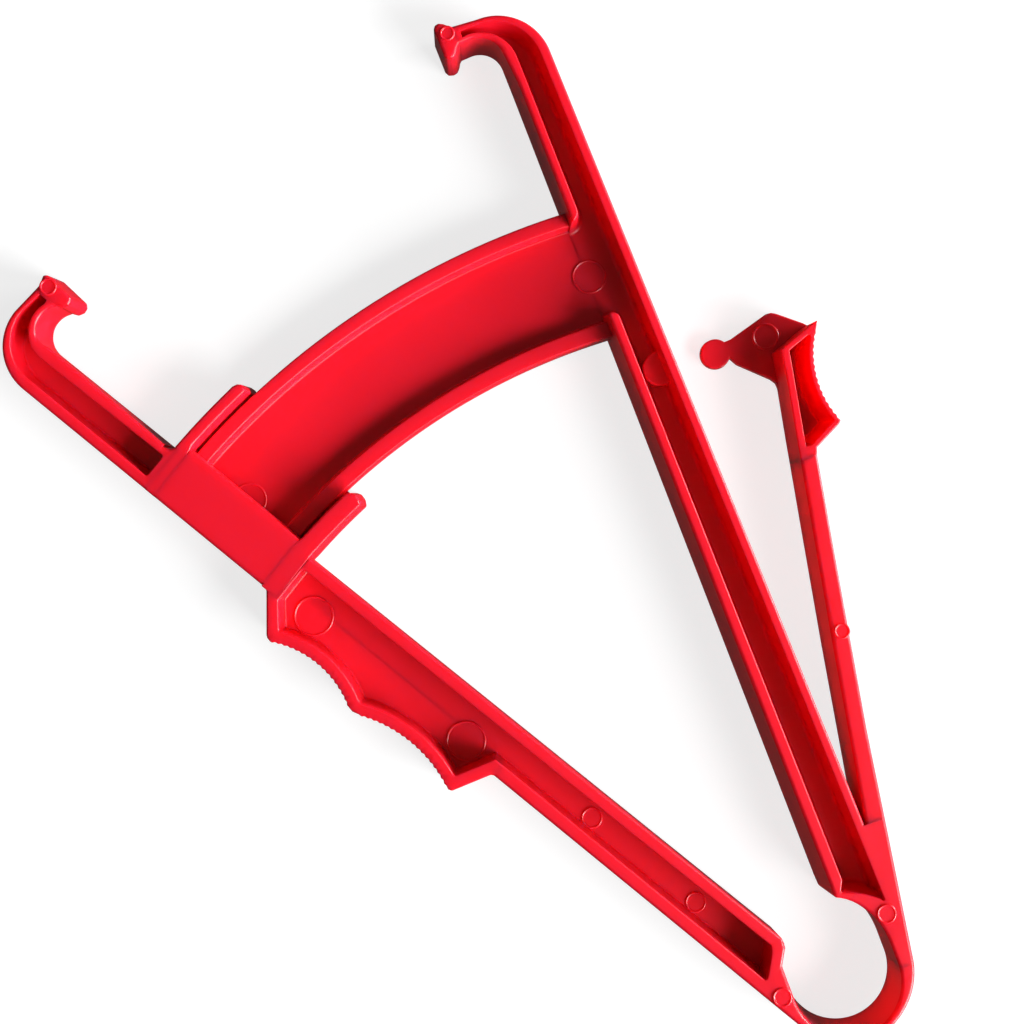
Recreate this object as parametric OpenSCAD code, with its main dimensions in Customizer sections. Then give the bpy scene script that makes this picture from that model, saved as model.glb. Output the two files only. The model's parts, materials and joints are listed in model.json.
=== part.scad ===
// Skinfold caliper, one red plastic moulding: two arms, a scale arc, a spring eye and a thumb lever.
// Origin: centre of the spring eye on the front plane. +Y along the main arm, +Z out of the open back.
// All lengths are in millimetres, all angles in degrees.

/* [Body] */
// Full height of the moulding, front plane to rim tops
body_h = 10; // [6:0.1:16]
// Thickness of the channel floors
floor_t = 3.2; // [1:0.1:6]
// Rim width beside the long channels
rim_w = 1.9; // [1:0.1:4]

/* [Pivot and opening] */
// Distance from the eye centre to the flexing axis, towards the grip arm
pivot_x = 6.3; // [0:0.1:12]
// Angle of the grip arm from the main arm at rest
open_angle = 28.6; // [20:0.1:40]
// Angle of the main jaw face past the flexing axis
jaw_angle = 0.6; // [0:0.1:3]
// Squeeze angle at which the two jaw faces meet
close_angle = 25.2; // [10:0.1:35]

/* [Main arm] */
// Right edge of the main arm
arm_right = 13.45; // [10:0.05:18]
// Left edge of the main arm at the eye centre line
arm_left0 = 2.47; // [0:0.01:6]
// Growth of the left edge per millimetre of length
arm_flare = 0.0168; // [0:0.0001:0.05]
// Inner edge of the left rim at the eye centre line
rim_in0 = 5.85; // [5:0.05:7]
// Growth of that inner edge per millimetre of length
rim_in_flare = 0.0097; // [0:0.0001:0.03]
// Outer radius of the hook at the end of each arm
hook_r = 10; // [6:0.1:14]
// Centre of the hook bend along the main arm
hook_y = 171.4; // [150:0.1:190]
// Inner radius of both hooks
hook_in_r = 4.5; // [2:0.1:8]

/* [Scale arc] */
// Outer radius of the scale arc about the flexing axis
arc_out = 144.9; // [130:0.1:160]
// Inner radius of the scale arc about the flexing axis
arc_in = 121.2; // [100:0.1:130]
// Width of the outer rim of the arc
arc_rim_out = 3.1; // [1:0.1:5]
// Width of the inner rim of the arc
arc_rim_in = 2.65; // [1:0.05:5]
// Step of the arc behind the front plane
arc_z = 1.3; // [0.5:0.1:3]
// Height of the arc rim tops
arc_top = 6.2; // [4:0.1:8]
// Angle of the hidden end of the arc
arc_end = 30.2; // [28:0.1:32]
// Jaw gap per tick in millimetres
tick_step = 1; // [1:1:5]
// Number of the last tick
tick_last = 79; // [20:1:90]

/* [Sleeve and guides] */
// Outer edge of the grip arm, left of the flexing axis line
grip_out = 5.6; // [4:0.1:8]
// Inner edge of the grip arm at the flexing axis
grip_in0 = 3.69; // [2:0.01:6]
// Narrowing of the grip arm per millimetre of length
grip_taper = 0.0084; // [0:0.0001:0.03]
// Edge of the sleeve plates on the arc side
plate_edge = 4.95; // [3:0.05:8]
// Inner radius of the upper guide
guide_up_in = 145.8; // [145:0.1:150]
// Outer radius of the upper guide
guide_up_out = 148.1; // [146:0.1:152]
// Inner radius of the lower guide, the side nearer the eye
guide_lo_in = 117.2; // [112:0.1:119]
// Outer radius of the lower guide
guide_lo_out = 120.2; // [118:0.1:121]
// Underside of the back plate
plate_z = 6.6; // [5:0.1:8]
// Thickness of the front plate
front_t = 0.8; // [0.5:0.1:1.2]
// Top of the sleeve along the grip arm
sleeve_top = 148.5; // [147:0.1:152]
// Bottom of the sleeve along the grip arm
sleeve_low = 117.2; // [110:0.1:118]

/* [Finger grip] */
// Radius of the first finger scallop
scallop_1 = 18.16; // [10:0.01:30]
// Radius of the second finger scallop
scallop_2 = 24.5; // [10:0.1:40]
// Wall behind the scallops
scallop_wall = 2.2; // [1:0.1:4]
// Height of the fine serrations
tooth_h = 0.3; // [0.1:0.05:0.6]
// Number of serrations on the first scallop
teeth_1 = 17; // [8:1:30]
// Number of serrations on the second scallop
teeth_2 = 18; // [8:1:30]

/* [Spring eye] */
// Inner radius of the spring eye
eye_r = 9.5; // [6:0.1:14]
// Spring wall on the grip side
eye_wall = 1.73; // [1:0.01:3]
// Extra spring wall at the main arm root
eye_taper = 1.27; // [0:0.01:3]

/* [Thumb lever] */
// Radius of the concave thumb face
thumb_r = 17.3; // [10:0.1:30]
// Wall behind the thumb face
thumb_wall = 0.9; // [0.5:0.1:2]
// Number of serrations on the thumb face
thumb_teeth = 14; // [6:1:30]
// Thickness of the pressure pointer plate
pointer_t = 2; // [1:0.1:4]
// Radius of the round end of the pressure pointer
bulb_r = 2.7; // [1:0.1:5]

/* [Ejector marks] */
// Depth of the ejector pin marks
pin_t = 0.2; // [0.1:0.05:0.5]
// Radius of the large marks
pin_big = 3.5; // [1:0.1:5]
// Radius of the arc floor marks
pin_mid = 3; // [1:0.1:5]
// Radius of the small marks
pin_small = 1.8; // [0.5:0.1:3]

/* [Hidden] */
$fn = 64;
eps = 0.01;
cut = 20;
eye_out = eye_r + eye_wall;
eye_root_a = -5;
eye_foot_a = open_angle - 180;
arm_top = hook_y + hook_r;
edge_x0 = 12.66;
edge_run = 0.1884;
apex_y = 24.5;
gap_low = 123.4;
gap_high = 141.5;
neck_x = -1;
jaw_neck_x = 9.6;
grip_split = -3.2;
pad_y = 88;

red = [0.86, 0.03, 0.07];
ink = [0.08, 0.08, 0.09];

function arc_pts(cx, cy, r, a0, a1, n) =
    [for (i = [0:n]) let (a = a0 + (a1 - a0) * i / n) [cx + r * cos(a), cy + r * sin(a)]];
// Arc with triangular teeth: every second point is pulled in by h
function tooth_pts(cx, cy, r, a0, a1, teeth, h) =
    [for (i = [0:2 * teeth]) let (a = a0 + (a1 - a0) * i / (2 * teeth), q = r - h * (i % 2))
        [cx + q * cos(a), cy + q * sin(a)]];
function arm_left(y) = arm_left0 + arm_flare * y;
function rim_in(y) = rim_in0 + rim_in_flare * y;
function grip_in(y) = grip_in0 - grip_taper * y;
// Outer radius of the spring wall, thicker towards the main arm
function eye_outer(a) = a > -60 ? eye_out + eye_taper * pow((a + 60) / 55, 1.5) : eye_out;
// Inner wall of the arm end, opening away from the eye circle
function end_r(a) = eye_r + 0.55 * pow(a / 20, 1.6);
// Point on the circle of radius r about the flexing axis, in the grip arm's own frame, at offset x
function guide_pt(r, x) = [x, sqrt(r * r - x * x)];
function guide_arc(r, x0, x1, n) = [for (i = [0:n]) guide_pt(r, x0 + (x1 - x0) * i / n)];

// The grip arm's own frame: y runs along the grip arm from the flexing axis
module grip_frame() translate([-pivot_x, 0, 0]) rotate([0, 0, open_angle]) children();

module slab(z0, z1) translate([0, 0, z0]) linear_extrude(height = z1 - z0) children();

module pin_mark(x, y, z, r) translate([x, y, z - pin_t]) cylinder(h = cut, r = r);

module main_arm() color(red) {
    outline = concat(
        [[eye_r * cos(eye_root_a), eye_r * sin(eye_root_a)],
         [eye_outer(eye_root_a) * cos(eye_root_a), eye_outer(eye_root_a) * sin(eye_root_a)],
         [edge_x0 + edge_run * apex_y, apex_y], [arm_right, apex_y]],
        arc_pts(arm_right - hook_r, hook_y, hook_r, 0, 90, 18),
        [[neck_x, arm_top + 0.45], [neck_x, arm_top - 3.1]],
        arc_pts(0.87, hook_y + 2.45, hook_in_r, 95, 0, 12),
        [[arm_left(168), 168], [arm_left(17), 17], [arm_left(15) + 0.1, 15]],
        [for (a = [76:-6:4]) [end_r(a) * cos(a), end_r(a) * sin(a)]],
        [[eye_r, 0]]);
    pocket = concat(
        arc_pts(0, 0, 15.7, 43, 72, 8),
        [[rim_in(17), 17], [rim_in(gap_low), gap_low],
         [0, gap_low], [0, gap_high - 0.6], [arm_left(gap_high) + 0.4, gap_high - 0.4],
         [rim_in(gap_high), gap_high + 1], [rim_in(168), 168]],
        arc_pts(rim_in(168) - 6.7, hook_y + 1.2, 6.7, 0, 90, 12),
        [[neck_x, arm_top - 2], [neck_x, arm_top - 0.9]],
        arc_pts(2.75, hook_y + 0.2, 8.8, 90, 0, 12));
    difference() {
        union() {
            difference() {
                slab(0, body_h) polygon(outline);
                slab(floor_t, body_h + 1) polygon(pocket);
            }
            // Round end of the left rim where the arc floor runs in
            translate([(arm_left(gap_low) + rim_in(gap_low)) / 2, gap_low, floor_t])
                cylinder(h = body_h - floor_t, r = (rim_in(gap_low) - arm_left(gap_low)) / 2);
        }
        pin_mark(11, 8.7, body_h, 1.6);
        pin_mark(5.4, 132.7, floor_t, pin_mid);
        // Engraved line the pressure pointer is brought to
        slab(-1, 0.3) polygon([[arm_right - 5, 111.1], [arm_right - 0.6, 111.1],
                               [arm_right - 0.6, 111.7], [arm_right - 5, 111.7]]);
    }
}

module main_jaw() color(red) {
    face_lo = [-pivot_x + 177.3 * tan(jaw_angle), 177.3];
    face_hi = [-pivot_x + 182.5 * tan(jaw_angle), 182.5];
    difference() {
        slab(0, body_h) polygon([[neck_x, arm_top + 0.45], [-1.4, 182.1], [-2.3, 182.9], [-3.1, 183.3],
            [-3.9, 183.15], face_hi, face_lo, [-4.1, 176.65], [-3.3, 176.4], [-2.6, 176.5],
            [-2, 177.1], [-1.5, 177.9], [neck_x, arm_top - 3.1]]);
        pin_mark(-3, 181.3, body_h, 1.1);
    }
}

// Everything right of the main arm's left edge
module arm_side(z0, z1) slab(z0, z1)
    polygon([[arm_left(100), 100], [40, 100], [40, 170], [arm_left(170), 170]]);

module arc_sweep(a0, a1) translate([-pivot_x, 0, 0]) rotate([0, 0, 90 + a0])
    rotate_extrude(angle = a1 - a0, $fn = 360) children();

module scale_arc() color(red) difference() {
    arc_sweep(-8, arc_end) polygon([[arc_in, arc_z], [arc_out, arc_z], [arc_out, arc_top],
        [arc_out - arc_rim_out, arc_top], [arc_out - arc_rim_out, floor_t],
        [arc_in + arc_rim_in, floor_t], [arc_in + arc_rim_in, arc_top], [arc_in, arc_top]]);
    arm_side(-1, cut);
    pin_mark(5.4, 132.7, floor_t, pin_mid);
    pin_mark(-66.3, 118.5, floor_t, pin_mid);
}

// Relief ticks on the front of the arc, one comb with a thin base line along the outer rim
module scale_marks() color(ink) {
    zero_a = 90 + open_angle - close_angle - asin(plate_edge / arc_out);
    step_a = close_angle / 79.1 * tick_step;
    base = arc_out - 1.4;
    w = 0.045;
    comb = concat(
        [for (i = [0:tick_last]) let (a = zero_a + step_a * i) (base + 0.35) * [cos(a), sin(a)]],
        [for (i = [tick_last:-1:0], k = [0:3]) let (
            a = zero_a + step_a * i + (k < 2 ? w : -w),
            len = i % 10 == 0 ? 6 : i % 5 == 0 ? 4.5 : 3,
            r = k == 0 || k == 3 ? base : base - len) r * [cos(a), sin(a)]]);
    translate([-pivot_x, 0, 0]) slab(arc_z - 0.25, arc_z) polygon(comb);
}

module spring_ring() color(red) difference() {
    slab(0, body_h) polygon(concat(
        [for (a = [eye_root_a:-5:-150]) [eye_outer(a) * cos(a), eye_outer(a) * sin(a)]],
        [eye_out * [cos(eye_foot_a), sin(eye_foot_a)], eye_r / 2 * [cos(eye_foot_a), sin(eye_foot_a)]],
        [eye_r / 2 * [cos(-75), sin(-75)], eye_r / 2 * [cos(eye_root_a), sin(eye_root_a)]]));
    translate([0, 0, -1]) cylinder(h = cut, r = eye_r);
}

module grip_arm_upper() color(red) grip_frame() {
    outline = concat(
        [[grip_in(sleeve_top), sleeve_top], [-grip_out, sleeve_top]],
        [for (p = arc_pts(4.25, 175.1, 9.85, 180, 90, 18)) p],
        [[jaw_neck_x, 184.55], [jaw_neck_x, 179.6]],
        arc_pts(6.7, 176.15, hook_in_r - 0.05, 62, 180, 14));
    pocket = concat(
        [[-grip_out + rim_w + 0.2, sleeve_top], [-grip_out + rim_w + 0.2, 175]],
        arc_pts(4.95, 175.3, 8.5, 175, 90, 14),
        [[jaw_neck_x, 183.3], [jaw_neck_x, 181.6]],
        arc_pts(6.6, 176, 5.9, 70, 180, 14),
        [[grip_in(sleeve_top) - rim_w + 0.3, sleeve_top]]);
    difference() {
        slab(0, body_h) polygon(outline);
        slab(floor_t, body_h + 1) polygon(pocket);
    }
}

module grip_jaw() color(red) grip_frame() {
    t = tan(open_angle - close_angle + jaw_angle);
    difference() {
        slab(0, body_h) polygon([[jaw_neck_x, 184.55], [jaw_neck_x, 179.6], [jaw_neck_x + 0.5, 178.5],
            [11, 178], [11.9, 178.1], [178.7 * t, 178.7], [184.5 * t, 184.5],
            [12.3, 185.1], [11.4, 184.8], [10.7, 184.5]]);
        pin_mark(11.35, 182.8, body_h, 1.4);
    }
}

module upper_guide() color(red) grip_frame() slab(0, body_h) polygon(concat(
    guide_arc(guide_up_in, -5.5, 19.3, 12),
    [[19.7, 144.9], [19.6, 145.9], [19.1, 146.6], [18.2, 147]],
    guide_arc(guide_up_out, 17, 3.6, 8),
    [[2.9, sleeve_top], [-5.5, sleeve_top]]));

module lower_guide() color(red) grip_frame() slab(0, body_h) polygon(concat(
    guide_arc(guide_lo_out, 16.3, -5.5, 12),
    [[-5.5, sleeve_low], [3.4, sleeve_low]],
    guide_arc(guide_lo_in, 4.3, 16.3, 8),
    [[17, 116.9], [17.3, 118], [17, 118.8]]));

// Area of the slot between the two guides, seen from the back
module slot_area() polygon(concat(
    guide_arc(guide_up_in, -5.5, plate_edge, 6), guide_arc(guide_lo_out, plate_edge, -5.5, 6)));

module sleeve_back_plate() color(red) grip_frame() slab(plate_z, body_h) slot_area();

module sleeve_front_plate() color(red) grip_frame() difference() {
    slab(0, front_t) slot_area();
    // Engraved arrow pointing to the reading edge
    slab(-1, 0.3) polygon([[plate_edge - 0.6, 138.5], [plate_edge - 4.6, 140.5], [plate_edge - 4.6, 136.5]]);
}

module finger_grip() color(red) grip_frame() {
    s1 = [-28.23, 104.54];
    s2 = [-34.84, 83.14];
    outline = concat(
        [[grip_split, sleeve_low], [-5.5, sleeve_low], [-5.5, 119.9], [-5.95, 119.5], [-11.8, 114.7],
         [-12.2, 114.2]],
        tooth_pts(s1[0], s1[1], scallop_1 + tooth_h / 2, 29.5, -30.5, teeth_1, tooth_h),
        [[-12.7, 94.2]],
        tooth_pts(s2[0], s2[1], scallop_2 + tooth_h / 2, 24, -23.5, teeth_2, tooth_h),
        [[-12.65, 72.6], [-12.4, 71.9], [-5.9, 68.4], [-5.7, 68], [grip_split, 68]]);
    pocket = concat(
        [[0, 117 - 0.1], [grip_split, 117 - 0.1], [-5.8, 116.8]],
        arc_pts(s1[0], s1[1], scallop_1 + scallop_wall, 25.5, -28.5, 12),
        arc_pts(s2[0], s2[1], scallop_2 + scallop_wall, 24.5, -21.5, 12),
        [[grip_split, 69.7], [0, 67]]);
    difference() {
        slab(0, body_h) polygon(outline);
        slab(floor_t, body_h + 1) polygon(pocket);
        pin_mark(-4.8, 110.6, floor_t, pin_big);
        pin_mark(-4.8, 75.2, floor_t, pin_big);
    }
}

module grip_arm_lower() color(red) grip_frame() {
    // Eye centre seen from the grip arm's frame
    ex = pivot_x * cos(open_angle);
    ey = -pivot_x * sin(open_angle);
    outline = concat(
        [[grip_in(sleeve_low), sleeve_low], [grip_split, sleeve_low], [grip_split, 68], [-5.7, 68],
         [ex - eye_out, ey]],
        arc_pts(ex, ey, eye_r, 180, 180 - open_angle, 6),
        [[0.62, 7.4], [2.7, 8.9], [3.35, 9.6], [grip_in(11), 10.8]]);
    difference() {
        slab(0, body_h) polygon(outline);
        slab(floor_t, body_h + 1) polygon([[grip_in(116.9) - rim_w, 116.9], [grip_split - 1, 116.9],
            [grip_split - 1, 69.7 + 0.6], [grip_split, 69.7], [grip_split, 6.7], [1.2, 9.2],
            [grip_in(10) - rim_w, 10.2]]);
        pin_mark(-4.8, 110.6, floor_t, pin_big);
        pin_mark(-4.8, 75.2, floor_t, pin_big);
        pin_mark(-1.2, 48.9, floor_t, pin_small);
        pin_mark(-1.1, 24.8, floor_t, pin_small);
        pin_mark(-3.6, 4.2, body_h, 1.6);
    }
}

module lever_beam() color(red) difference() {
    slab(0, body_h) polygon([[arm_right, apex_y], [edge_x0 + edge_run * apex_y, apex_y], [20.16, 40],
        [27.03, 73], [30.25, pad_y], [26.87, pad_y], [23.95, 74.6], [19.75, 55.1]]);
    pin_mark(22.4, 57.6, body_h, 1.3);
}

module thumb_pad() color(red) {
    tx = 52.4;
    ty = 98.3;
    difference() {
        slab(0, body_h) polygon(concat(
            [[26.87, pad_y], [30.25, pad_y], [30.6, 89], [35.7, 91.35], [36.3, 91.9]],
            tooth_pts(tx, ty, thumb_r, 201, 147, thumb_teeth, -tooth_h),
            [[38.1, 108.1], [39.3, 110], [37, 109.5], [30.95, 107.5], [29.75, 101], [27.7, 91.9]]));
        slab(pointer_t, body_h + 1) polygon(concat(
            [[28.75, 89.9], [30, 89.9]],
            arc_pts(tx, ty, thumb_r + thumb_wall, 199, 148.5, 14),
            [[36.3, 108], [32.4, 106.8]]));
    }
}

module pressure_pointer() color(red) difference() {
    slab(0, pointer_t) polygon(concat(
        [[29.75, 101], [30.95, 107.5], [37, 109.5], [38.9, 109.92], [38.3, 110.6], [34.4, 114.05],
         [33.6, 114.55], [32.7, 114.65], [25.2, 112.85]],
        arc_pts(21.5, 111.4, bulb_r, 32, 322, 28),
        [[24.4, 108.2], [29.1, 103.4], [29.7, 102.4]]));
    pin_mark(31, 110.9, pointer_t, 2.3);
}

main_arm();
main_jaw();
scale_arc();
scale_marks();
spring_ring();
grip_arm_upper();
grip_jaw();
upper_guide();
lower_guide();
sleeve_back_plate();
sleeve_front_plate();
finger_grip();
grip_arm_lower();
lever_beam();
thumb_pad();
pressure_pointer();
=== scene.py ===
import json
import math
import bmesh
import bpy
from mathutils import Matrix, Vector


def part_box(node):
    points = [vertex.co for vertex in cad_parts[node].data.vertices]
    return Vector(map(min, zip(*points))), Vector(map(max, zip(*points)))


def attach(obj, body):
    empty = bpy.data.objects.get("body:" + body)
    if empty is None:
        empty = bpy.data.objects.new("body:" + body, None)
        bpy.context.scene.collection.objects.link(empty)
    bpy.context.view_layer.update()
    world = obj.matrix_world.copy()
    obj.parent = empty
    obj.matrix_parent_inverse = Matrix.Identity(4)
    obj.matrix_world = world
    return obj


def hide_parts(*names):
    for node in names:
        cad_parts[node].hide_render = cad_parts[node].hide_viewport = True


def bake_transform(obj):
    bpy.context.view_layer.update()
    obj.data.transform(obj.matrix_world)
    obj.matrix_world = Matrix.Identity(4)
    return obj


# A red plastic skinfold caliper. Shapes are drawn in millimetres in the frame's own axes and scaled
# to metres when a mesh is made. Heights and the hinge's place are read from the frame.
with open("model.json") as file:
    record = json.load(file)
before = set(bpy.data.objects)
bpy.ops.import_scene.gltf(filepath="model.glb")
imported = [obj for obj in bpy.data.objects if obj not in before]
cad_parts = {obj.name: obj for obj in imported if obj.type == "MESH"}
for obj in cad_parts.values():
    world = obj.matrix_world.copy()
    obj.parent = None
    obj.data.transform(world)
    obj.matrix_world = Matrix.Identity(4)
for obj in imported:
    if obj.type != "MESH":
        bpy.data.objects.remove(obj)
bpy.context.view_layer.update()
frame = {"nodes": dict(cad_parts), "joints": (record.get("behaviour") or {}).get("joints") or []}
MM = 0.001

# Driving dimensions, in millimetres and degrees
ARM_BOX = [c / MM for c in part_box("main_arm")]
ARC_BOX = [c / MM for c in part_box("scale_arc")]
PLATE_BOX = [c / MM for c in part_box("sleeve_back_plate")]
TONGUE_BOX = [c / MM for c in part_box("pressure_pointer")]
BODY_H = ARM_BOX[1].z
ARM_RIGHT = 13.45
ARM_LEFT_0, ARM_FLARE = 2.47, 0.0168
RIM_IN_0, RIM_FLARE = 5.85, 0.0097
HINGE = [j for j in frame["joints"] if j["name"] == "arm_squeeze"][0]["pos_m"]
PIVOT_X = -HINGE[0] / MM
OPEN_ANGLE = 28.6
CLOSE_ANGLE = 25.2
JAW_ANGLE = 0.6
FLOOR = 3.2
HOOK_R, HOOK_Y, HOOK_IN_R = 10.0, 171.4, 4.5
ARM_TOP = HOOK_Y + HOOK_R
NECK_X = -1.0
EYE_R, EYE_WALL, EYE_TAPER = 9.5, 1.73, 1.27
END_RISE = 4.95
EYE_ROOT_A, EYE_FOOT_A = -5.0, OPEN_ANGLE - 180
APEX_Y = 24.5
EDGE_X0, EDGE_RUN = 12.66, 0.1884
GAP_LOW, GAP_HIGH = 123.4, 141.5
ARC_OUT, ARC_IN = 145.05, 121.45
ARC_RIM_OUT, ARC_RIM_IN = 2.6, 2.95
ARC_BASE, ARC_TOP = ARC_BOX[0].z, ARC_BOX[1].z
ARC_END = 30.2
GRIP_OUT = 5.6
GRIP_IN_0, GRIP_TAPER = 3.69, 0.0084
GRIP_RIM_UP, GRIP_RIM_LOW = 1.3, 1.4
SLEEVE_TOP, SLEEVE_LOW = 148.5, 117.2
PLATE_EDGE = 4.95
PLATE_Z = PLATE_BOX[0].z
FRONT_T = 0.8
GUIDE_UP_IN, GUIDE_UP_OUT = 145.4, 148.1
GUIDE_LO_IN, GUIDE_LO_OUT, GUIDE_LO_END = 117.2, 120.8, 16.3
LEDGE, LEDGE_T = 1.0, 0.7
ROOT_X = 3.6
ROOT_Y = math.sqrt(GUIDE_UP_OUT ** 2 - ROOT_X ** 2)
SEAM_Y = 147.3
GRIP_SPLIT = -3.2
JAW_NECK_X = 9.6
PAD_Y = 88.0
THUMB_R, THUMB_WALL, THUMB_TEETH = 17.3, 0.9, 14
TONGUE_T = TONGUE_BOX[1].z
BULB_X, BULB_Y, BULB_R = 21.5, 111.4, 2.7
ROUND_TOP, ROUND_FRONT = 0.6, 0.35
ARM_LEAN, WALL_LEAN, GUIDE_LEAN = 1.1, 1.0, 0.3
DRAFT = 0.12
PIN_RIM = 0.15
WELD = 2e-6


def cosd(a):
    return math.cos(math.radians(a))


def sind(a):
    return math.sin(math.radians(a))


def polar(r, a):
    return (r * cosd(a), r * sind(a))


def arm_left(y):
    """Left edge of the main arm at height y."""
    return ARM_LEFT_0 + ARM_FLARE * y


def rim_in(y):
    """Inner side of the main arm's left wall at height y."""
    return RIM_IN_0 + RIM_FLARE * y


def grip_in(y):
    """Inner edge of the grip arm, y along it."""
    return GRIP_IN_0 - GRIP_TAPER * y


def spaced(a0, a1, step):
    """Even values from a0 to a1, about step apart, both ends included."""
    n = max(2, round(abs(a1 - a0) / step))
    return [a0 + (a1 - a0) * i / n for i in range(n + 1)]


def arc(cx, cy, r, a0, a1, step=4.0):
    """Points on a circle from angle a0 to a1, both ends included."""
    return [(cx + r * cosd(a), cy + r * sind(a)) for a in spaced(a0, a1, step)]


def disc(x, y, r):
    """A full circle whose first point is not repeated."""
    return arc(x, y, r, 0, 354, 6)


def toothed(cx, cy, r, a0, a1, teeth, h, fine=6, share=0.3):
    """An arc with a row of small round serrations, h deep, whose edges get that share of a rounding."""
    n = teeth * fine
    points = []
    for i in range(n + 1):
        a = a0 + (a1 - a0) * i / n
        q = r - h * (0.5 - 0.5 * math.cos(2 * math.pi * i / fine))
        points.append((cx + q * cosd(a), cy + q * sind(a), share))
    return points


def divided(points, step):
    """The same open line with points no more than step apart."""
    out = [points[0]]
    for p, q in zip(points, points[1:]):
        n = max(1, math.ceil(math.dist(p, q) / step))
        out += [(p[0] + (q[0] - p[0]) * i / n, p[1] + (q[1] - p[1]) * i / n) for i in range(1, n + 1)]
    return out


def guide_arc(r, x0, x1, n=16):
    """The circle of radius r about the hinge in the grip arm's own frame, from offset x0 to x1."""
    offsets = [x0 + (x1 - x0) * i / n for i in range(n + 1)]
    return [(x, math.sqrt(r * r - x ** 2)) for x in offsets]


def seam(points):
    """Marks the edges that leave these points as seams to a neighbouring piece, which stay square.
    A point's third number is the share of each rounding that its edge gets, and its fourth how far, in
    millimetres, the wall leans out from the front to the back."""
    return [(p[0], p[1], 0.0) for p in points]


def end_seam(points):
    """Marks the last point's edge as a seam."""
    return points[:-1] + [points[-1][:2] + (0.0,)]


def faded(points, share0, share1):
    """Gives the edges along these points a share of each rounding that changes from share0 to share1."""
    n = len(points) - 1
    return [(p[0], p[1], share0 + (share1 - share0) * i / n) for i, p in enumerate(points)]


def eye_outer(a):
    """Outer radius of the spring eye, which thickens towards the main arm."""
    wall = EYE_R + EYE_WALL
    return wall + EYE_TAPER * ((a + 60) / 55) ** 1.5 if a > -60 else wall


def to_grip(x, y):
    """A point of the grip arm's own frame, in the row frame."""
    c, s = cosd(OPEN_ANGLE), sind(OPEN_ANGLE)
    return (-PIVOT_X + x * c - y * s, x * s + y * c)


def in_grip(points):
    return [to_grip(p[0], p[1]) + tuple(p[2:]) for p in points]


# Outline tools

def tidy(points):
    """Drops repeated points and turns the loop anticlockwise."""
    kept = [p for i, p in enumerate(points) if math.dist(p[:2], points[i - 1][:2]) > 1e-4]
    area = sum(a[0] * b[1] - b[0] * a[1] for a, b in zip(kept, kept[1:] + kept[:1]))
    if area > 0:
        return kept
    # Reversed, each edge's mark moves to the point that the edge now leaves from
    n = len(kept)
    return [(kept[i][0], kept[i][1]) + tuple(kept[i - 1][2:]) for i in reversed(range(n))]


def soften(points, r, least=22.0, steps=5):
    """Rounds the corners that turn by more than least degrees, except at seams."""
    n = len(points)
    out = []
    for i, p in enumerate(points):
        before, after = points[i - 1], points[(i + 1) % n]
        u = Vector((p[0] - before[0], p[1] - before[1]))
        v = Vector((after[0] - p[0], after[1] - p[1]))
        turn = math.degrees(u.angle(v))
        if turn < least or any(len(q) > 2 and q[2] != 1.0 for q in (p, before)):
            out.append(p)
            continue
        back = min(r * math.tan(math.radians(turn / 2)), 0.42 * u.length, 0.42 * v.length)
        a = Vector(p[:2]) - u.normalized() * back
        b = Vector(p[:2]) + v.normalized() * back
        for k in range(steps + 1):
            t = k / steps
            q = a.lerp(Vector(p[:2]), t).lerp(Vector(p[:2]).lerp(b, t), t)
            out.append((q.x, q.y) + tuple(p[2:] if k == steps else before[2:]))
    return out


def offset_corner(points, ways, a, b, da, db, near):
    """Where edge a moved in by da meets edge b moved in by db."""
    pa = Vector(points[a][:2]) + Vector((-ways[a].y, ways[a].x)) * da
    pb = Vector(points[b][:2]) + Vector((-ways[b].y, ways[b].x)) * db
    cross = ways[a].x * ways[b].y - ways[a].y * ways[b].x
    if abs(cross) < 0.3:
        normal = Vector((-ways[a].y - ways[b].y, ways[a].x + ways[b].x)).normalized()
        return Vector(points[near][:2]) + normal * (da + db) / 2
    t = ((pb.x - pa.x) * ways[b].y - (pb.y - pa.y) * ways[b].x) / cross
    return pa + ways[a] * t


def inset(points, amount, height=0.0):
    """The loop moved inwards by amount times each edge's share, at a height from 0 (front) to 1 (back).
    Edges that would turn over drop out."""
    n = len(points)
    flat = [Vector(p[:2]) for p in points]
    ways = [(flat[(i + 1) % n] - flat[i]).normalized() for i in range(n)]
    move = [amount * (p[2] if len(p) > 2 else 1.0) - height * (p[3] if len(p) > 3 else 0.0) for p in points]
    alive = [True] * n
    while True:
        out = []
        for i in range(n):
            a, b = (i - 1) % n, i
            while not alive[a]:
                a = (a - 1) % n
            while not alive[b]:
                b = (b + 1) % n
            out.append(offset_corner(points, ways, a, b, move[a], move[b], i))
        turned = [i for i in range(n) if alive[i] and (out[(i + 1) % n] - out[i]).dot(ways[i]) < -1e-6]
        if not turned or sum(alive) - len(turned) < 4:
            return [(p.x, p.y) for p in out]
        for i in turned:
            alive[i] = False


# Solids

def stack(name, points, rings):
    """A closed solid: the loop at each ring's height, moved inwards by the ring's amount."""
    bm = bmesh.new()
    layers = []
    z0, z1 = rings[0][0], rings[-1][0]
    for z, amount in rings:
        loop = inset(points, amount, (z - z0) / (z1 - z0))
        layers.append([bm.verts.new((x * MM, y * MM, z * MM)) for x, y in loop])
    n = len(points)
    for low, high in zip(layers, layers[1:]):
        for i in range(n):
            j = (i + 1) % n
            bm.faces.new((low[i], low[j], high[j], high[i]))
    bm.faces.new(list(reversed(layers[0])))
    bm.faces.new(layers[-1])
    mesh = bpy.data.meshes.new(name)
    bm.to_mesh(mesh)
    bm.free()
    obj = bpy.data.objects.new(name, mesh)
    bpy.context.scene.collection.objects.link(obj)
    return obj


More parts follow.
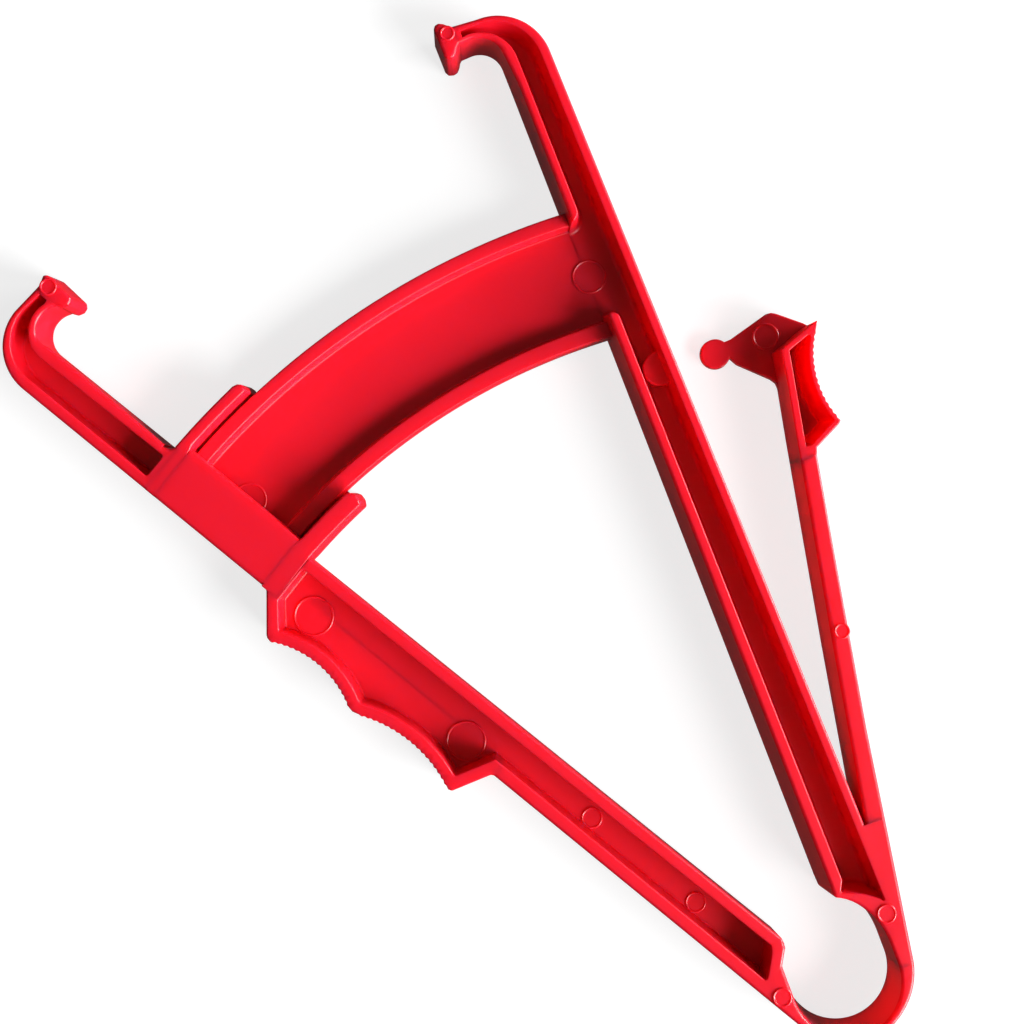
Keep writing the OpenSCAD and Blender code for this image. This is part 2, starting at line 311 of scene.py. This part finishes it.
def quarter(steps=4):
    """Sines and one minus cosines of a quarter round."""
    turns = [math.pi / 2 * k / steps for k in range(steps + 1)]
    return [(math.sin(a), 1 - math.cos(a)) for a in turns]


def moulded(name, points, z0=0.0, z1=BODY_H, top=ROUND_TOP, front=ROUND_FRONT, corner=0.5, draft=DRAFT):
    """A moulded block: rounded front edges, drafted sides and rounded top edges."""
    loop = soften(tidy(points), corner)
    rings = [(z0 + front * c, front * (1 - s) - draft) for s, c in quarter()]
    rings += [(z1 - top + top * s, draft + top * c) for s, c in quarter()]
    return stack(name, loop, rings)


def pocket(points, z0=FLOOR, z1=BODY_H, fillet=0.8, lip=0.25, lean=0.3, corner=0.6):
    """A cutter for a pocket: filleted floor, leaning walls and a lip that rounds the rim's inner edge."""
    loop = soften(tidy(points), corner)
    rings = [(z0 + fillet * c, lean + fillet * (1 - s)) for s, c in quarter(5)]
    rings += [(z1 - lip + lip * s, -lip * c) for s, c in quarter()]
    rings.append((z1 + 3, -lip))
    return stack("cutter", loop, rings)


def pin_mark(x, y, z, r):
    """The low boss that an ejector pin leaves, with a raised rim."""
    rings = [(z - 0.3, 0), (z + 0.1, 0), (z + 0.2, 0.08), (z + 0.24, 0.2), (z + 0.2, 0.34), (z + 0.08, 0.46)]
    return stack("pin_mark", disc(x, y, r + PIN_RIM), rings)


def combine(obj, others, operation):
    """Cuts the others away from obj, or joins them to it, and applies the result."""
    for other in others:
        mod = obj.modifiers.new("bool", "BOOLEAN")
        mod.operation = operation
        mod.solver = "MANIFOLD"
        mod.object = other
    bpy.context.view_layer.update()
    done = bpy.data.meshes.new_from_object(obj.evaluated_get(bpy.context.evaluated_depsgraph_get()))
    old = obj.data
    obj.modifiers.clear()
    obj.data = done
    done.name = obj.name
    bpy.data.meshes.remove(old)
    for other in others:
        bpy.data.objects.remove(other)


def finish_piece(obj, material, body, nodes, smooth=34.0, whole=False):
    """Cleans the mesh, sets its shading and material, and hangs it on its body. A piece given two bodies is
    hung on neither; its place is baked into its mesh.
    """
    bm = bmesh.new()
    bm.from_mesh(obj.data)
    bmesh.ops.remove_doubles(bm, verts=bm.verts, dist=WELD)
    bmesh.ops.dissolve_degenerate(bm, edges=bm.edges, dist=WELD)
    if not whole:
        bmesh.ops.dissolve_limit(bm, verts=bm.verts, edges=bm.edges, angle_limit=math.radians(0.3))
    bmesh.ops.triangulate(bm, faces=[f for f in bm.faces if len(f.verts) > 4])
    for f in bm.faces:
        f.smooth = True
    for e in bm.edges:
        e.smooth = len(e.link_faces) == 2 and math.degrees(e.calc_face_angle(0.0)) < smooth
    bm.to_mesh(obj.data)
    bm.free()
    obj.data.materials.clear()
    obj.data.materials.append(material)
    weighted = obj.modifiers.new("flat_faces", "WEIGHTED_NORMAL")
    weighted.mode = "FACE_AREA"
    weighted.weight = 80
    weighted.keep_sharp = True
    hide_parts(*nodes)
    if isinstance(body, str):
        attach(obj, body)
    else:
        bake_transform(obj)


# Materials

def new_material(name):
    mat = bpy.data.materials.new(name)
    mat.use_nodes = True
    return mat, mat.node_tree.nodes["Principled BSDF"]


def noise(tree, place, scale, detail=2.0):
    """A noise of the given scale, in the object's own coordinates."""
    node = tree.nodes.new("ShaderNodeTexNoise")
    node.inputs["Scale"].default_value = scale
    node.inputs["Detail"].default_value = detail
    tree.links.new(place.outputs["Object"], node.inputs["Vector"])
    return node.outputs["Fac"]


def tint(tree, factor, first, second, shader):
    """Base colour that wanders between two colours."""
    node = tree.nodes.new("ShaderNodeMix")
    node.data_type = "RGBA"
    node.inputs["A"].default_value = first + (1,)
    node.inputs["B"].default_value = second + (1,)
    tree.links.new(factor, node.inputs["Factor"])
    tree.links.new(node.outputs["Result"], shader.inputs["Base Color"])


def red_plastic(name, glow, depth):
    """Glossy red polystyrene. Light soaks through by depth, in metres, so that thin walls glow."""
    mat, shader = new_material(name)
    tree = mat.node_tree
    shader.inputs["IOR"].default_value = 1.46
    shader.inputs["Specular IOR Level"].default_value = 0.5
    shader.inputs["Subsurface Weight"].default_value = glow
    shader.inputs["Subsurface Radius"].default_value = (1.0, 0.06, 0.05)
    shader.inputs["Subsurface Scale"].default_value = depth
    place = tree.nodes.new("ShaderNodeTexCoord")
    cloud = noise(tree, place, 45.0, 3.0)
    tint(tree, cloud, (0.80, 0.006, 0.022), (0.84, 0.009, 0.030), shader)
    gloss = tree.nodes.new("ShaderNodeMapRange")
    gloss.inputs["To Min"].default_value = 0.29
    gloss.inputs["To Max"].default_value = 0.37
    tree.links.new(cloud, gloss.inputs["Value"])
    tree.links.new(gloss.outputs["Result"], shader.inputs["Roughness"])
    bump = tree.nodes.new("ShaderNodeBump")
    bump.inputs["Strength"].default_value = 0.12
    bump.inputs["Distance"].default_value = 0.00004
    tree.links.new(noise(tree, place, 2600.0), bump.inputs["Height"])
    tree.links.new(bump.outputs["Normal"], shader.inputs["Normal"])
    return mat


def ink():
    """Worn black ink for the scale."""
    mat, shader = new_material("scale_ink")
    tree = mat.node_tree
    wear = noise(tree, tree.nodes.new("ShaderNodeTexCoord"), 700.0)
    tint(tree, wear, (0.015, 0.015, 0.017), (0.035, 0.033, 0.034), shader)
    shader.inputs["Roughness"].default_value = 0.55
    return mat


RED = red_plastic("red_plastic", 0.7, 0.002)
THIN_RED = red_plastic("red_plastic_thin", 1.0, 0.004)
INK = ink()

# Main arm with its jaw pad

BOSS = (10.7, 112.5, 3.1)
BOSS_Z = 6.4
ARM_PINS = [(5.4, 132.75, FLOOR, 2.95), (11.0, 8.7, BODY_H, 1.6), (-2.35, 180.85, BODY_H, 1.2)]


def arc_side(x):
    """Height of the inner side of the arc's outer rim, at x."""
    return math.sqrt((ARC_OUT - ARC_RIM_OUT) ** 2 - (x + PIVOT_X) ** 2)


def arm_pocket():
    """The long channel; its left wall is open where the arc's floor runs in."""
    half = (rim_in(GAP_LOW) - arm_left(GAP_LOW)) / 2
    loop = arc(0, 0, 15.9, 43, 72) + [(rim_in(17), 17), (rim_in(GAP_LOW), GAP_LOW)]
    loop += arc(rim_in(GAP_LOW) - half, GAP_LOW, half, 0, 180, 10)
    side, r = rim_in(GAP_HIGH), 1.8
    loop += [(arm_left(GAP_LOW) - 4, GAP_LOW), (arm_left(GAP_HIGH) - 4, arc_side(arm_left(GAP_HIGH) - 4)),
             (side - r, arc_side(side - r))]
    loop += arc(side - r, arc_side(side - r) + r, r, -85, 0, 12) + [(rim_in(168), 168)]
    loop += faded(arc(rim_in(168) - 6.7, HOOK_Y + 1.2, 6.7, 0, 90), 1.0, 0.2)
    loop += [(NECK_X + 0.9, ARM_TOP - 2.2, 0.2), (NECK_X + 0.9, ARM_TOP - 0.9, 0.2)]
    return loop + faded(arc(2.75, HOOK_Y + 0.2, 8.8, 90, 0), 0.2, 1.0)


def end_r(a):
    """Radius of the arm's end beside the spring eye, which it leaves in a smooth curve."""
    return EYE_R + END_RISE * (0.5 - 0.5 * cosd(180 * a / 82))


def main_arm():
    points = [polar(EYE_R, EYE_ROOT_A) + (0.0,), polar(eye_outer(EYE_ROOT_A), EYE_ROOT_A),
              (EDGE_X0 + EDGE_RUN * APEX_Y, APEX_Y, 0.0), (ARM_RIGHT, APEX_Y)]
    points += arc(ARM_RIGHT - HOOK_R, HOOK_Y, HOOK_R, 0, 90)
    points += [(NECK_X, ARM_TOP + 0.45, 0.0), (NECK_X, ARM_TOP - 3.1)]
    points += arc(0.87, HOOK_Y + 2.45, HOOK_IN_R, 95, 0, 5)
    points += [(arm_left(168), 168, 1.0, -ARM_LEAN), (arm_left(17), 17, 1.0, -0.7 * ARM_LEAN)]
    points += [(arm_left(15) + 0.1, 15, 1.0, -0.5 * ARM_LEAN)]
    ease = [max(0.0, 0.5 - 0.1 * i) * ARM_LEAN for i in range(19)]
    points += [polar(end_r(a), a) + (1.0, -e) for a, e in zip(range(76, 0, -4), ease)]
    points += [(EYE_R, 0)]
    arm = moulded("main_arm_channel", points, corner=1.2)
    combine(arm, [pocket(arm_pocket(), fillet=0.9, lean=0.5)], "DIFFERENCE")
    boss = stack("boss", disc(*BOSS), [(FLOOR - 0.4, 0.0), (BOSS_Z - 0.2, 0.0), (BOSS_Z, 0.2)])
    combine(arm, [boss] + [pin_mark(*p) for p in ARM_PINS[:2]], "UNION")
    finish_piece(arm, RED, "main", ["main_arm"])


def main_jaw():
    t = math.tan(math.radians(JAW_ANGLE))
    points = [(NECK_X, ARM_TOP + 0.45), (-1.4, 182.1), (-2.3, 182.9), (-3.1, 183.3), (-3.9, 183.15),
              (-PIVOT_X + 182.5 * t, 182.5), (-PIVOT_X + 177.3 * t, 177.3), (-4.1, 176.65), (-3.3, 176.4),
              (-2.6, 176.5), (-2, 177.1), (-1.5, 177.9), (NECK_X, ARM_TOP - 3.1, 0.0)]
    jaw = moulded("main_jaw_pad", points)
    combine(jaw, [pin_mark(*ARM_PINS[2])], "UNION")
    finish_piece(jaw, RED, "main", ["main_jaw"])


# Scale arc, hung on the main arm's left wall. Polar angles run from straight up, about the hinge.

ARC_PIN = (-66.3, 118.5, FLOOR, 3.0)


def arc_point(r, a):
    """A point at radius r about the hinge, a degrees to the left of straight up."""
    return (-PIVOT_X - r * sind(a), r * cosd(a))


def arc_meets_arm(r):
    """Polar angle where the circle of radius r crosses the main arm's left edge."""
    lean = math.atan(ARM_FLARE)
    return -math.degrees(math.asin((PIVOT_X + arm_left(0)) * math.cos(lean) / r) + lean)


def swept(r, a0, a1, step=1.0):
    return [arc_point(r, a) for a in spaced(a0, a1, step)]


def scale_arc():
    points = swept(ARC_OUT, arc_meets_arm(ARC_OUT) - 0.4, ARC_END)
    points += swept(ARC_IN, ARC_END, arc_meets_arm(ARC_IN) - 0.4)
    band = moulded("scale_arc_channel", end_seam(points), ARC_BASE, ARC_TOP, top=0.3, front=0.4, draft=0.06)
    channel = swept(ARC_OUT - ARC_RIM_OUT, -9, ARC_END + 4)
    channel += swept(ARC_IN + ARC_RIM_IN, ARC_END + 4, -9)
    lean = ARM_LEAN * FLOOR / BODY_H - 0.06
    notch = [(arm_left(124) + lean, 124), (12, 124), (12, 141.9), (arm_left(141.9) + lean, 141.9)]
    hollow = pocket(channel, z1=ARC_TOP, fillet=0.5, lip=0.35, lean=0.25)
    combine(band, [hollow, stack("cutter", notch, [(0, 0), (9, 0)])], "DIFFERENCE")
    combine(band, [pin_mark(*ARC_PIN)], "UNION")
    finish_piece(band, RED, "main", ["scale_arc"])


def scale_marks():
    """The relief scale is the frame's own node, inked."""
    marks = frame["nodes"]["scale_marks"]
    marks.data.materials.clear()
    marks.data.materials.append(INK)


# Spring eye between the two arms. On the caliper it bends; here it is one fixed mesh.

def spring_ring():
    out = [polar(eye_outer(a), a) for a in spaced(EYE_ROOT_A, EYE_FOOT_A, 2.5)]
    inner = [polar(EYE_R, a) for a in spaced(EYE_FOOT_A, EYE_ROOT_A, 2.5)]
    ring = moulded("spring_eye", end_seam(out) + end_seam(inner))
    start = (EYE_R * MM, 0, 0)
    end = (EYE_R * cosd(EYE_FOOT_A) * MM, 0, 0)
    finish_piece(ring, THIN_RED, ("main", "grip", start, end), ["spring_ring"], whole=True)


# Grip arm, drawn in its own frame with y along the arm

GRIP_PINS = [(-4.8, 110.6, FLOOR, 3.5), (-4.8, 75.2, FLOOR, 3.5), (-1.2, 48.9, FLOOR, 1.8),
             (-1.1, 24.85, FLOOR, 1.75), (-3.6, 4.2, BODY_H, 1.6), (11.3, 182.9, BODY_H, 1.4)]
HOOK_LEAN = [WALL_LEAN * max(0.0, 1 - i / 10) for i in range(31)]


def grip_pin(i):
    """The pin mark of that number, in the row frame."""
    x, y, z, r = GRIP_PINS[i]
    return to_grip(x, y) + (z, r)


def grip_arm_upper():
    points = [(-GRIP_OUT, SEAM_Y, 0.0), (ROOT_X, SEAM_Y, 0.0), (ROOT_X, ROOT_Y), (2.9, SLEEVE_TOP),
              (grip_in(150), 149.6, 1.0, WALL_LEAN)]
    hook = reversed(arc(6.7, 176.15, HOOK_IN_R - 0.05, 62, 180))
    points += [p + (1.0, lean) for p, lean in zip(hook, HOOK_LEAN)]
    points += [(JAW_NECK_X, 179.6, 0.0), (JAW_NECK_X, 184.55)]
    points += list(reversed(arc(4.25, 175.1, 9.85, 180, 90)))
    hollow = [(-3.5, SLEEVE_TOP), (-3.5, 175)] + faded(arc(4.95, 175.3, 8.5, 175, 90), 1.0, 0.4)
    hollow += [(JAW_NECK_X - 0.3, 183.3, 0.4), (JAW_NECK_X - 0.3, 181.7, 0.4)]
    hollow += faded(arc(6.6, 176, 5.9, 70, 180), 0.4, 1.0)
    hollow += [(grip_in(SLEEVE_TOP) - GRIP_RIM_UP, SLEEVE_TOP)]
    arm = moulded("grip_arm_upper_channel", in_grip(points))
    combine(arm, [pocket(in_grip(hollow), fillet=0.5, lean=0.2)], "DIFFERENCE")
    finish_piece(arm, RED, "grip", ["grip_arm_upper"])


def grip_jaw():
    t = math.tan(math.radians(OPEN_ANGLE - CLOSE_ANGLE + JAW_ANGLE))
    points = [(JAW_NECK_X, 184.55, 0.0), (JAW_NECK_X, 179.6), (JAW_NECK_X + 0.5, 178.5), (11, 178),
              (11.9, 178.1), (178.7 * t, 178.7), (184.5 * t, 184.5), (12.3, 185.1), (11.4, 184.8),
              (10.7, 184.5)]
    jaw = moulded("grip_jaw_pad", in_grip(points))
    combine(jaw, [pin_mark(*grip_pin(5))], "UNION")
    finish_piece(jaw, RED, "grip", ["grip_jaw"])


def upper_guide():
    points = seam(guide_arc(GUIDE_UP_IN, -GRIP_OUT, PLATE_EDGE, 8))[:-1]
    points += [p + (1.0, -GUIDE_LEAN) for p in guide_arc(GUIDE_UP_IN, PLATE_EDGE, 19.3)]
    points += [(19.7, 144.9), (19.6, 145.9), (19.1, 146.6), (18.2, 147)]
    points += guide_arc(GUIDE_UP_OUT, 17, ROOT_X)[:-1]
    points += [(ROOT_X, ROOT_Y, 0.0), (ROOT_X, SEAM_Y, 0.0), (-GRIP_OUT, SEAM_Y)]
    guide = moulded("upper_guide_rail", in_grip(points), top=0.45)
    finish_piece(guide, RED, "grip", ["upper_guide"])


def lower_guide():
    points = guide_arc(GUIDE_LO_OUT, GUIDE_LO_END, PLATE_EDGE)[:-1]
    points += seam(guide_arc(GUIDE_LO_OUT, PLATE_EDGE, -GRIP_OUT, 8))
    points += [(-GRIP_OUT, SLEEVE_LOW, 0.0), (grip_in(SLEEVE_LOW), SLEEVE_LOW)]
    points += guide_arc(GUIDE_LO_IN, 4.3, GUIDE_LO_END) + [(17, 116.9), (17.3, 118), (17, 118.8)]
    guide = moulded("lower_guide_rail", in_grip(points), top=0.45)
    ledge = guide_arc(GUIDE_LO_OUT + LEDGE, GUIDE_LO_END, PLATE_EDGE)
    ledge += guide_arc(GUIDE_LO_OUT - 1, PLATE_EDGE, GUIDE_LO_END)
    combine(guide, [stack("ledge", tidy(in_grip(ledge)), [(0.1, 0.0), (LEDGE_T, 0.0)])], "UNION")
    finish_piece(guide, RED, "grip", ["lower_guide"])


def slot_loop():
    """The sleeve between the guides, seen from the back. Only the two short sides are free edges."""
    top = seam(list(reversed(guide_arc(GUIDE_UP_IN, -GRIP_OUT, PLATE_EDGE, 8))))
    low = seam(guide_arc(GUIDE_LO_OUT, -GRIP_OUT, PLATE_EDGE, 8))
    top[-1] = top[-1][:2]
    low[-1] = low[-1][:2] + (0.3,)
    return top + low


def sleeve_plates():
    back = moulded("sleeve_back", in_grip(slot_loop()), PLATE_Z, BODY_H, front=0.3)
    finish_piece(back, RED, "grip", ["sleeve_back_plate"])
    front = moulded("sleeve_front", in_grip(slot_loop()), 0.0, FRONT_T, top=0.15, draft=0.0)
    tip = PLATE_EDGE - 0.6
    arrow = [(tip, 138.5), (tip - 4, 140.5), (tip - 4, 136.5)]
    combine(front, [stack("cutter", tidy(in_grip(arrow)), [(-1, 0), (0.3, 0)])], "DIFFERENCE")
    finish_piece(front, RED, "grip", ["sleeve_front_plate"])


SCALLOPS = [(-28.23, 104.54, 18.16), (-34.84, 83.14, 24.5)]
SCALLOP_WALL = 2.2
SCALLOP_TEETH = (17, 18)
TOOTH = 0.18


def grip_pocket():
    """One cutter for the finger grip and the lower arm, so that their walls and floors meet."""
    (x1, y1, r1), (x2, y2, r2) = SCALLOPS
    loop = [(grip_in(116.9) - GRIP_RIM_LOW, 116.9), (-5.8, 116.8)]
    loop += arc(x1, y1, r1 + SCALLOP_WALL, 25.5, -28.5) + arc(x2, y2, r2 + SCALLOP_WALL, 24.5, -21.5)
    loop += [(GRIP_SPLIT, 69.7), (GRIP_SPLIT, 8.0), (1.2, 10.5), (grip_in(11) - GRIP_RIM_LOW, 11.5)]
    return pocket(in_grip(loop), fillet=0.4, lean=0.15)


def finger_grip():
    (x1, y1, r1), (x2, y2, r2) = SCALLOPS
    points = [(GRIP_SPLIT, SLEEVE_LOW, 0.0), (-GRIP_OUT, SLEEVE_LOW, 0.0), (-GRIP_OUT, 119.9), (-5.95, 119.5),
              (-11.8, 114.7), (-12.2, 114.2)]
    points += toothed(x1, y1, r1 + TOOTH / 2, 29.5, -30.5, SCALLOP_TEETH[0], TOOTH, share=0.5)
    points += [(-12.7, 94.2)]
    points += toothed(x2, y2, r2 + TOOTH / 2, 24, -23.5, SCALLOP_TEETH[1], TOOTH, share=0.5)
    points += [(-12.65, 72.6), (-12.4, 71.9), (-5.9, 68.4), (-5.7, 68, 0.0), (GRIP_SPLIT, 68, 0.0)]
    grip = moulded("finger_grip_scallops", in_grip(points), top=0.4)
    combine(grip, [grip_pocket()], "DIFFERENCE")
    combine(grip, [pin_mark(*grip_pin(i)) for i in (0, 1)], "UNION")
    finish_piece(grip, RED, "grip", ["finger_grip"])


def grip_arm_lower():
    # Centre of the spring eye in the grip arm's own frame
    ex, ey = polar(PIVOT_X, -OPEN_ANGLE)
    points = [(grip_in(SLEEVE_LOW), SLEEVE_LOW, 0.0), (GRIP_SPLIT, SLEEVE_LOW, 0.0), (GRIP_SPLIT, 68, 0.0),
              (-5.7, 68), (ex - EYE_R - EYE_WALL, ey, 0.0)]
    points += arc(ex, ey, EYE_R, 180, 180 - OPEN_ANGLE)
    points += [(0.62, 7.4), (2.7, 8.9, 1.0, 0.5), (3.35, 9.6, 1.0, 0.8),
               (grip_in(11), 10.8, 1.0, WALL_LEAN)]
    arm = moulded("grip_arm_lower_channel", in_grip(points), corner=1.0)
    combine(arm, [grip_pocket()], "DIFFERENCE")
    combine(arm, [pin_mark(*grip_pin(i)) for i in (2, 3, 4)], "UNION")
    finish_piece(arm, RED, "grip", ["grip_arm_lower"])


# Thumb lever

LEVER_PINS = [(22.4, 57.6, BODY_H, 1.3), (31.0, 110.9, TONGUE_T, 2.3)]
THUMB = (52.4, 98.3)


def lever_beam():
    right = [(EDGE_X0 + EDGE_RUN * APEX_Y, APEX_Y), (20.16, 40), (27.03, 73), (30.25, PAD_Y)]
    left = [(26.87, PAD_Y), (23.95, 74.6), (19.75, 55.1), (ARM_RIGHT, APEX_Y)]
    beam = moulded("lever_spring_beam", end_seam(divided(right, 2.0)) + end_seam(divided(left, 2.0)))
    combine(beam, [pin_mark(*LEVER_PINS[0])], "UNION")
    start, end = (0, APEX_Y * MM, 0), (0, PAD_Y * MM, 0)
    finish_piece(beam, THIN_RED, ("main", "lever", start, end), ["lever_beam"], whole=True)


def thumb_pad():
    tx, ty = THUMB
    points = [(26.87, PAD_Y, 0.0), (30.25, PAD_Y), (30.6, 89), (35.7, 91.35), (36.3, 91.9)]
    points += toothed(tx, ty, THUMB_R, 201, 147, THUMB_TEETH, -TOOTH)
    points += [(38.1, 108.1), (39.3, 110), (37, 109.5), (30.95, 107.5), (29.75, 101), (27.7, 91.9)]
    hollow = [(28.75, 89.9), (30, 89.9)] + arc(tx, ty, THUMB_R + THUMB_WALL, 199, 148.5)
    hollow += [(36.3, 108), (32.4, 106.8)]
    pad = moulded("thumb_pad_shell", points, top=0.3, corner=0.3)
    cutter = pocket(hollow, z0=TONGUE_T, fillet=0.25, lip=0.12, corner=0.3, lean=0.8)
    combine(pad, [cutter], "DIFFERENCE")
    finish_piece(pad, THIN_RED, "lever", ["thumb_pad"])


def pressure_pointer():
    points = [(29.75, 101, 0.0), (30.95, 107.5, 0.0), (37, 109.5, 0.0), (38.9, 109.92), (38.3, 110.6),
              (34.4, 114.05), (33.6, 114.55), (32.7, 114.65), (25.2, 112.85)]
    points += arc(BULB_X, BULB_Y, BULB_R, 32, 322) + [(24.4, 108.2), (29.1, 103.4), (29.7, 102.4)]
    tongue = moulded("pressure_pointer_plate", points, 0.0, TONGUE_T, top=0.3, front=0.25, draft=0.03)
    combine(tongue, [pin_mark(*LEVER_PINS[1])], "UNION")
    finish_piece(tongue, RED, "lever", ["pressure_pointer"])


MAIN_PIECES = [main_arm, main_jaw, scale_arc, scale_marks, spring_ring]
GRIP_PIECES = [grip_arm_upper, grip_jaw, upper_guide, lower_guide, sleeve_plates, finger_grip, grip_arm_lower]
LEVER_PIECES = [lever_beam, thumb_pad, pressure_pointer]
for build in MAIN_PIECES + GRIP_PIECES + LEVER_PIECES:
    build()

# Studio, in metres

MIDDLE = (-0.02, 0.095, 0.0)
CAMERA_PLACE = (-0.02337, 0.09875, 0.275)
CAMERA_TURN = -22.1
LENS, SENSOR = 53.1, 36.0
SKY = 0.075


def stage_floor():
    """A pale floor just under the object, left out of its reflections and bounced light."""
    mesh = bpy.data.meshes.new("floor")
    half = 3.0
    corners = [(-half, -half, 0), (half, -half, 0), (half, half, 0), (-half, half, 0)]
    mesh.from_pydata(corners, [], [(0, 1, 2, 3)])
    obj = bpy.data.objects.new("floor", mesh)
    obj.location.z = -0.0004
    obj.visible_glossy = False
    obj.visible_diffuse = False
    bpy.context.scene.collection.objects.link(obj)
    mat, shader = new_material("floor_white")
    shader.inputs["Base Color"].default_value = (0.3, 0.3, 0.3, 1)
    shader.inputs["Roughness"].default_value = 0.9
    shader.inputs["Specular IOR Level"].default_value = 0.1
    shader.inputs["Emission Color"].default_value = (1, 1, 1, 1)
    shader.inputs["Emission Strength"].default_value = 0.78
    mesh.materials.append(mat)


def area_light(name, direction, distance, size, power):
    """A square soft light looking at the middle of the object."""
    data = bpy.data.lights.new(name, "AREA")
    data.shape = "SQUARE"
    data.size = size
    data.energy = power
    obj = bpy.data.objects.new(name, data)
    d = Vector(direction).normalized()
    obj.location = Vector(MIDDLE) + d * distance
    obj.rotation_euler = d.to_track_quat("Z", "Y").to_euler()
    bpy.context.scene.collection.objects.link(obj)


def soft_sky():
    world = bpy.data.worlds.new("studio")
    world.use_nodes = True
    sky = world.node_tree.nodes["Background"]
    sky.inputs["Color"].default_value = (1, 1, 1, 1)
    sky.inputs["Strength"].default_value = SKY
    bpy.context.scene.world = world


def main_camera():
    """Looks straight down on the object, turned about the upright axis."""
    data = bpy.data.cameras.new("camera")
    data.sensor_width = SENSOR
    data.lens = LENS
    data.dof.use_dof = False
    data.clip_start = 0.01
    camera = bpy.data.objects.new("camera", data)
    camera.location = CAMERA_PLACE
    camera.rotation_euler = (0, 0, math.radians(CAMERA_TURN))
    bpy.context.scene.collection.objects.link(camera)
    bpy.context.scene.camera = camera


stage_floor()
area_light("key", (0.62, -0.78, 0.47), 2.5, 1.5, 148.0)
area_light("side", (0.96, -0.1, 0.08), 2.0, 0.8, 80.0)
soft_sky()
main_camera()
bpy.context.scene.view_settings.view_transform = "Standard"
